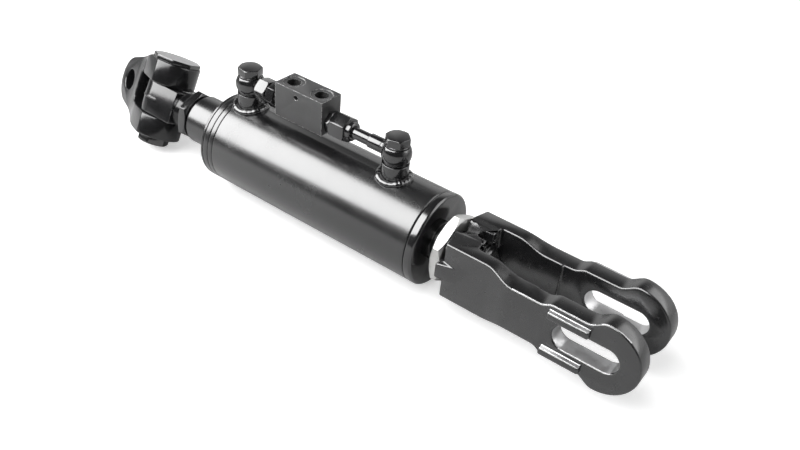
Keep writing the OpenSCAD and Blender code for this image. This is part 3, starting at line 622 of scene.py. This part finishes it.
class STABILIZER_OT_finishes(bpy.types.Operator):
    """Give every carried-over node its finish"""
    bl_idname = "stabilizer.finishes"
    bl_label = "Finishes"

    def execute(self, context):
        steel = tuple(finish().steel)
        metal("bright_thread", (0.62, 0.62, 0.63), 0.22, 0.05)
        # Bare steel for the rubbed slot walls, and also a painted highlight on the upward rib faces
        # and a painted reflection on the pin head's top
        metal("rubbed_and_highlight_steel", (0.55, 0.55, 0.555), 0.36, 0.2, turned=(0.15, 4, 4))
        satin_black("black_satin")
        # Near black and dull: painted shade for the bores and thread rings of the hose ports
        plain("port_painted_shade", (0.008, 0.008, 0.008), 0.4, 0.05, 0.2)
        looks = {
            gloss_paint("black_barrel_paint", 0.24, 0.01): [
                "barrel_tube", "piston_rod", "rod_gland"],
            gloss_paint("black_gloss_paint"): [
                "port_bosses", "base_cap", "banjo_bolts", "rod_end_banjo", "base_end_banjo",
                "valve_block", "rod_end_adapter", "base_end_adapter", "rod_end_pipe_nut",
                "base_end_pipe_nut", "rod_end_pipe", "base_end_pipe", "pipe_sleeve",
                "knuckle_lock_nut", "banjo_washers", "pivot_pin", "pin_nut"],
            gloss_paint("black_weld_paint", 0.07): ["port_weld_beads"],
            gloss_paint("painted_thread", 0.2): ["base_stud"],
            forged_paint("black_forged_paint", 0.0012): ["lower_link_fork"],
            forged_paint("black_forged_joint", 0.0016, 0.16, 0.03, 0.55): [
                "knuckle", "chassis_clevis"],
            plain("black_rubber", (0.012, 0.012, 0.012), 0.5): ["gland_o_ring", "piston_o_ring"],
            plain("wiper_rubber", (0.03, 0.03, 0.026), 0.45): ["rod_wiper"],
            plain("seal_polyurethane", (0.03, 0.09, 0.19), 0.3): ["rod_seal", "piston_seal"],
            plain("guide_band", (0.26, 0.12, 0.045), 0.55): [
                "rod_guide_ring", "piston_guide_rings"],
            metal("seat_brass", (0.72, 0.52, 0.22), 0.25): ["check_seats"],
            metal("spring_wire", (0.5, 0.5, 0.51), 0.25): [
                "rod_end_check_spring", "base_end_check_spring"],
            metal("ground_steel", (0.66, 0.665, 0.675), 0.16, 0.03): [
                "pilot_piston", "rod_end_poppet", "base_end_poppet"],
            metal("machined_steel", steel, 0.32, turned=(1, 12, 12)): [
                "piston", "piston_nut", "knuckle_bush"],
            metal("zinc_plate", tuple(finish().zinc), 0.42, 0.5, radius=0.0012): [
                "fork_lock_nut"],
        }
        for material, nodes in looks.items():
            for node in nodes:
                dress(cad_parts[node], material)
        undressed = set(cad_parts) - {node for nodes in looks.values() for node in nodes}
        if undressed:
            raise RuntimeError("no finish for " + ", ".join(sorted(undressed)))
        return {"FINISHED"}


class STABILIZER_OT_forgings(bpy.types.Operator):
    """Ease the edges of the clevis, its pin and the knuckle, and cut the knuckle's thread"""
    bl_idname = "stabilizer.forgings"
    bl_label = "Clevis and knuckle"

    def execute(self, context):
        forged = look("black_forged_joint")
        edge = sizes().forged_edge
        lean = math.radians(PIN_LEAN)
        axis = Vector((0, math.sin(lean), math.cos(lean)))
        settle(eased("chassis_clevis", edge), "clevis", "forged_paint", forged, "chassis_clevis")
        for node in ("pivot_pin", "pin_nut"):
            piece = eased(node, sizes().machined_edge, 20)
            dress(piece, look("black_gloss_paint"))
            if node == "pivot_pin":
                # The head's top gets bare steel: a painted reflection of the bright backdrop on it
                paint_faces(piece, look("rubbed_and_highlight_steel"), lambda middle, normal: (
                    normal.dot(axis) > 0.97 and middle.dot(axis) > 0))
            settle(piece, "clevis", "forged_paint", None, node)
        knuckle = eased("knuckle", edge)
        trim(knuckle, (KNUCKLE_SHOULDER, 0, 0), (1, 0, 0))
        dress(knuckle, forged)
        stud = thread("knuckle_thread", KNUCKLE_SHOULDER - STUD_OVERLAP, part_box("knuckle")[1].x,
                      KNUCKLE_STUD/2, KNUCKLE_STUD/2 - KNUCKLE_TOOTH,
                      sizes().knuckle_pitch, KNUCKLE_CHAMFER)
        dress(stud, look("bright_thread"))
        bpy.ops.object.select_all(action="DESELECT")
        bpy.ops.mesh.primitive_torus_add(
            major_radius=EYE_RADIUS, minor_radius=RIDGE_RADIUS, major_segments=96,
            minor_segments=10, location=(EYE_X, 0, 0), rotation=(-lean, 0, 0))
        ridge = bpy.context.object
        apply_place()
        dress(ridge, forged)
        settle(join(knuckle, stud, ridge), "knuckle", "forged_paint", None, "knuckle")
        return {"FINISHED"}


class STABILIZER_OT_fork(bpy.types.Operator):
    """Shape the fork's root, ease its edges, bare its rubbed faces and paint a highlight on the
    upward faces by its ribs
    """
    bl_idname = "stabilizer.fork"
    bl_label = "Fork"

    def shape_root(self, fork, front):
        """Fills the root's shoulders, cuts its two dishes, its sink and the notch over the stud."""
        top = ROOT_HEIGHT/2
        wide, half = SHOULDER_HALF_WIDTH, NOTCH_WIDTH/2
        for side in (1, -1):
            fill = block((front + SHOULDER_ALONG[0], -wide, SHOULDER_FOOT),
                         (front + SHOULDER_ALONG[1], wide, top))
            if side < 0:
                fill.data.transform(Matrix.Scale(-1, 4, (0, 0, 1)))
                outward(fill)
            combine(fork, fill, "UNION")
            ends = [(front + along, 0, side*(top + floor + SCOOP_RADIUS))
                    for along, floor in zip(SCOOP_ALONG, SCOOP_FLOOR)]
            combine(fork, rod(*ends, SCOOP_RADIUS))
        combine(fork, rod(*[(front + along, 0, 0) for along in SINK_ALONG], *SINK_RADII))
        low, high = NOTCH_HEIGHTS
        start, end = (front + along for along in NOTCH_ALONG)
        combine(fork, rod((start, 0, low), (start, 0, high), half))
        combine(fork, block((start, -half, low), (end, half, high)))
        outward(fork)

    def execute(self, context):
        low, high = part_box("lower_link_fork")
        front = low.x
        fork = shell_of("lower_link_fork", "fork")
        self.shape_root(fork, front)

        def is_eased(point):
            on_root = point.x < front + ROOT_TOP_END and abs(point.y) < ROOT_TOP_HALF_WIDTH
            on_rib = (abs(point.y) > RIB_OUT and RIB_ENDS[0] < point.x < RIB_ENDS[1]
                      and RIB_HEIGHTS[0] < abs(point.z) < RIB_HEIGHTS[1])
            return not on_root and not on_rib

        ease_chosen(fork, sizes().fork_edge, 40, is_eased)
        if len(fork.data.polygons) < 500:
            raise RuntimeError("the fork lost its faces")
        dress(fork, look("black_forged_paint"))

        def is_rubbed_or_highlit(middle, normal):
            in_slot = (abs(middle.x) < SLOT_LENGTH/2 and abs(normal.y) < 0.2
                       and abs(middle.z) < SLOT_WIDTH/2 + FACE_MARGIN)
            # The upward faces near the ribs' outer sides get bare steel: rubbing, and a painted
            # highlight where light from above falls
            on_rib = (abs(middle.y) > high.y - RIB_HIGHLIGHT_DEPTH and normal.z > 0.8
                      and abs(middle.x) < RIB_HIGHLIGHT_REACH)
            return in_slot or on_rib

        paint_faces(fork, look("rubbed_and_highlight_steel"), is_rubbed_or_highlit)
        settle(fork, "fork", "forged_paint", None, "lower_link_fork", angle=30)
        return {"FINISHED"}


class STABILIZER_OT_stud(bpy.types.Operator):
    """Cut the thread of the base stud"""
    bl_idname = "stabilizer.stud"
    bl_label = "Base stud"

    def execute(self, context):
        low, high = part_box("base_stud")
        radius = (high.z - low.z)/2
        stud = thread("base_stud_thread", low.x, high.x, radius, radius - STUD_TOOTH,
                      sizes().stud_pitch, STUD_CHAMFER)
        settle(stud, "cylinder", "black_paint", look("painted_thread"), "base_stud")
        return {"FINISHED"}


class STABILIZER_OT_machined(bpy.types.Operator):
    """Ease the edges of the machined parts, and thread the valve block's hose ports"""
    bl_idname = "stabilizer.machined"
    bl_label = "Machined parts"

    def port_thread(self, name, x, top):
        """Rings down the bore of a hose port."""
        bpy.ops.object.select_all(action="DESELECT")
        bpy.ops.mesh.primitive_torus_add(
            major_radius=PORT_BORE/2 + PORT_THREAD_OUT, minor_radius=PORT_THREAD_RADIUS,
            major_segments=64, minor_segments=8, location=(x, 0, top - PORT_THREAD_DEPTH))
        rings = bpy.context.object
        apply_place()
        turns = rings.modifiers.new("turns", "ARRAY")
        turns.count = PORT_THREAD_TURNS
        turns.use_relative_offset = False
        turns.use_constant_offset = True
        turns.constant_offset_displace = (0, 0, -sizes().port_pitch)
        bpy.ops.object.modifier_apply(modifier=turns.name)
        rings.name = name
        # The rings are painted near black as the shade inside the bore
        settle(rings, "cylinder", "black_paint", look("port_painted_shade"), angle=60)

    def execute(self, context):
        edge = sizes().machined_edge
        for node, body, paint in (("barrel_tube", "cylinder", "black_barrel_paint"),
                                  ("base_cap", "cylinder", "black_gloss_paint"),
                                  ("banjo_bolts", "cylinder", "black_gloss_paint"),
                                  ("knuckle_lock_nut", "knuckle_nut", "black_gloss_paint")):
            settle(eased(node, edge), body, "black_paint", look(paint), node)
        low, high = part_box("valve_block")
        ports = {"rod_port_thread": low.x + PORT_INSET, "base_port_thread": high.x - PORT_INSET}
        body = eased("valve_block", edge)
        dress(body, look("black_satin"))

        def in_shaded_port(middle, normal):
            reach = min(math.hypot(middle.x - x, middle.y) for x in ports.values())
            return reach < PORT_BORE/2 + FACE_MARGIN and middle.z < high.z - PORT_SHADE_DEPTH

        # The bores below their rims are painted near black as the shade inside them
        paint_faces(body, look("port_painted_shade"), in_shaded_port)
        settle(body, "cylinder", "black_paint", None, "valve_block")
        for name, x in ports.items():
            self.port_thread(name, x, high.z)
        return {"FINISHED"}


class STABILIZER_OT_fittings(bpy.types.Operator):
    """Ease the pipes' fittings and turn their hexagons as they were tightened"""
    bl_idname = "stabilizer.fittings"
    bl_label = "Pipe fittings"

    def execute(self, context):
        low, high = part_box("rod_end_pipe")
        axis = Vector((0, 0, (low.z + high.z)/2))
        for node, turn in FITTING_TURNS.items():
            piece = shell_of(node, node + "_eased")
            if turn:
                spin = Matrix.Rotation(math.radians(turn), 4, "X")
                piece.data.transform(Matrix.Translation(axis) @ spin @ Matrix.Translation(-axis))
            edge = BANJO_EDGE if node.endswith("banjo") else sizes().machined_edge
            bevel_edges(piece, edge, 28)
            settle(piece, "cylinder", "black_paint", look("black_gloss_paint"), node)
        return {"FINISHED"}


class STABILIZER_OT_welds(bpy.types.Operator):
    """Lay the weld beads round the port bosses"""
    bl_idname = "stabilizer.welds"
    bl_label = "Welds"

    def execute(self, context):
        low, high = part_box("port_bosses")
        boss = (high.y - low.y)/2
        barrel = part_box("barrel_tube")[1].z
        beads = [weld_bead("weld_beads", x, boss, barrel, sizes().weld_bead, sizes().weld_ripples)
                 for x in (low.x + boss, high.x - boss)]
        settle(join(*beads), "cylinder", "black_paint", look("black_weld_paint"),
               "port_weld_beads", angle=60)
        return {"FINISHED"}


class STABILIZER_OT_stage(bpy.types.Operator):
    """Set the pale floor, the soft studio light and the camera"""
    bl_idname = "stabilizer.stage"
    bl_label = "Studio"

    def lay_floor(self):
        """A floor that is pale, near white to the camera and darker in the clevis's reflections."""
        low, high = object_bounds()
        bpy.ops.object.select_all(action="DESELECT")
        bpy.ops.mesh.primitive_plane_add(size=FLOOR_SIZE, location=(0, 0, low[2] - FLOOR_GAP))
        floor = bpy.context.object
        floor.name = "studio_floor"
        apply_place()
        paper = Shade("studio_paper", specular=0.2)
        paper.rough(paper.noise(0.05), 0.8, 0.9)
        path = paper.add("ShaderNodeLightPath")
        place = paper.add("ShaderNodeSeparateXYZ")
        paper.link(paper.coords.outputs["Object"], place.inputs[0])
        mirrored = paper.remap(place.outputs["X"], -0.85, -0.60, 0.2, 0.74)
        paper.colour(paper.mix(path.outputs["Is Glossy Ray"], (0.92, 0.92, 0.92), mirrored))
        lift = paper.add("ShaderNodeEmission")
        strength = paper.remap(path.outputs["Is Camera Ray"], 0, 1, 0.0, 0.45)
        paper.link(strength, lift.inputs["Strength"])
        total = paper.add("ShaderNodeAddShader")
        paper.link(paper.shader.outputs[0], total.inputs[0])
        paper.link(lift.outputs[0], total.inputs[1])
        paper.link(total.outputs[0], paper.output.inputs[0])
        dress(floor, paper.material)
        floor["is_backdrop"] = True

    def light_world(self, scene):
        """White to the camera, a low bright wall behind in reflections, and even dim light."""
        world = bpy.data.worlds.new("studio")
        scene.world = world
        sky = Nodes(world)
        output = sky.add("ShaderNodeOutputWorld")
        light = sky.add("ShaderNodeBackground")
        path = sky.add("ShaderNodeLightPath")
        coords = sky.add("ShaderNodeTexCoord")
        split = sky.add("ShaderNodeSeparateXYZ")
        sky.link(coords.outputs["Generated"], split.inputs[0])
        wall = sky.multiply(sky.remap(split.outputs["Z"], 0.36, 0.62, 1.0, 0.0),
                            sky.remap(split.outputs["Y"], -0.25, 0.25))
        mirrored = sky.remap(wall, 0.0, 1.0, 0.10, 1.0)
        unseen = sky.mix(path.outputs["Is Glossy Ray"], 0.42, mirrored, "VALUE")
        strength = sky.mix(path.outputs["Is Camera Ray"], unseen, 1.0, "VALUE")
        light.inputs["Color"].default_value = (1, 1, 1, 1)
        sky.link(strength, light.inputs["Strength"])
        sky.link(light.outputs[0], output.inputs[0])

    def softbox(self, name, direction, distance, size, power, spill=True, shine=True):
        """An area lamp; spill is its part in diffuse light and shine its highlights."""
        lamp = bpy.data.lights.new(name, "AREA")
        lamp.shape = "RECTANGLE"
        lamp.size, lamp.size_y = size
        lamp.energy = power
        thing = bpy.data.objects.new(name, lamp)
        bpy.context.scene.collection.objects.link(thing)
        away = Vector(direction).normalized()
        across = Vector((1, 0, 0))
        across = (across - across.dot(away)*away).normalized()
        turn = Matrix((across, away.cross(across), away)).transposed()
        place = Vector(LAMP_TARGET) + away*distance
        thing.matrix_world = Matrix.Translation(place) @ turn.to_4x4()
        thing.visible_diffuse = spill
        thing.visible_glossy = shine

    def set_camera(self, scene):
        lens = bpy.data.cameras.new("photo_camera")
        lens.lens = CAMERA_LENS
        lens.sensor_width = 36
        lens.shift_x, lens.shift_y = CAMERA_SHIFT
        lens.clip_end = 20
        camera = bpy.data.objects.new("photo_camera", lens)
        scene.collection.objects.link(camera)
        up = Vector(CAMERA_UP)
        back = Vector(CAMERA_RIGHT).cross(up).normalized()
        right = up.cross(back).normalized()
        turn = Matrix((right, up.normalized(), back)).transposed()
        camera.matrix_world = Matrix.Translation(CAMERA_PLACE) @ turn.to_4x4()
        scene.camera = camera

    def execute(self, context):
        scene = context.scene
        scene.view_settings.view_transform = "Standard"
        self.lay_floor()
        self.light_world(scene)
        self.softbox("key_softbox", (-0.45, -0.50, 0.71), 1.5, (2.2, 1.2), 34, shine=False)
        self.softbox("key_highlight", (-0.45, -0.53, 0.69), 1.42, (2.4, 1.24), 95, spill=False)
        self.softbox("back_highlight", (0.62, 0.50, 0.60), 1.5, (1.5, 0.9), 11, spill=False)
        self.set_camera(scene)
        return {"FINISHED"}


class STABILIZER_PT_panel(bpy.types.Panel):
    """Lists the stabilizer's finishes, sizes and steps"""
    bl_idname = "STABILIZER_PT_panel"
    bl_label = "Lower link stabilizer"
    bl_space_type = "VIEW_3D"
    bl_region_type = "UI"
    bl_category = "Stabilizer"

    def draw(self, context):
        for group in (context.scene.stabilizer_finish, context.scene.stabilizer_sizes):
            for name in group.__annotations__:
                self.layout.prop(group, name)
        for operator in OPERATORS:
            self.layout.operator(operator.bl_idname)


OPERATORS = (STABILIZER_OT_finishes, STABILIZER_OT_forgings, STABILIZER_OT_fork,
             STABILIZER_OT_stud, STABILIZER_OT_machined, STABILIZER_OT_fittings,
             STABILIZER_OT_welds, STABILIZER_OT_stage)
CLASSES = (StabilizerFinish, StabilizerSizes, *OPERATORS, STABILIZER_PT_panel)


def register():
    for item in CLASSES:
        bpy.utils.register_class(item)
    bpy.types.Scene.stabilizer_finish = PointerProperty(type=StabilizerFinish)
    bpy.types.Scene.stabilizer_sizes = PointerProperty(type=StabilizerSizes)


def unregister():
    del bpy.types.Scene.stabilizer_sizes
    del bpy.types.Scene.stabilizer_finish
    for item in reversed(CLASSES):
        bpy.utils.unregister_class(item)


def main():
    register()
    bpy.ops.stabilizer.finishes()
    bpy.ops.stabilizer.forgings()
    bpy.ops.stabilizer.fork()
    bpy.ops.stabilizer.stud()
    bpy.ops.stabilizer.machined()
    bpy.ops.stabilizer.fittings()
    bpy.ops.stabilizer.welds()
    bpy.ops.stabilizer.stage()


if __name__ == "__main__":
    main()
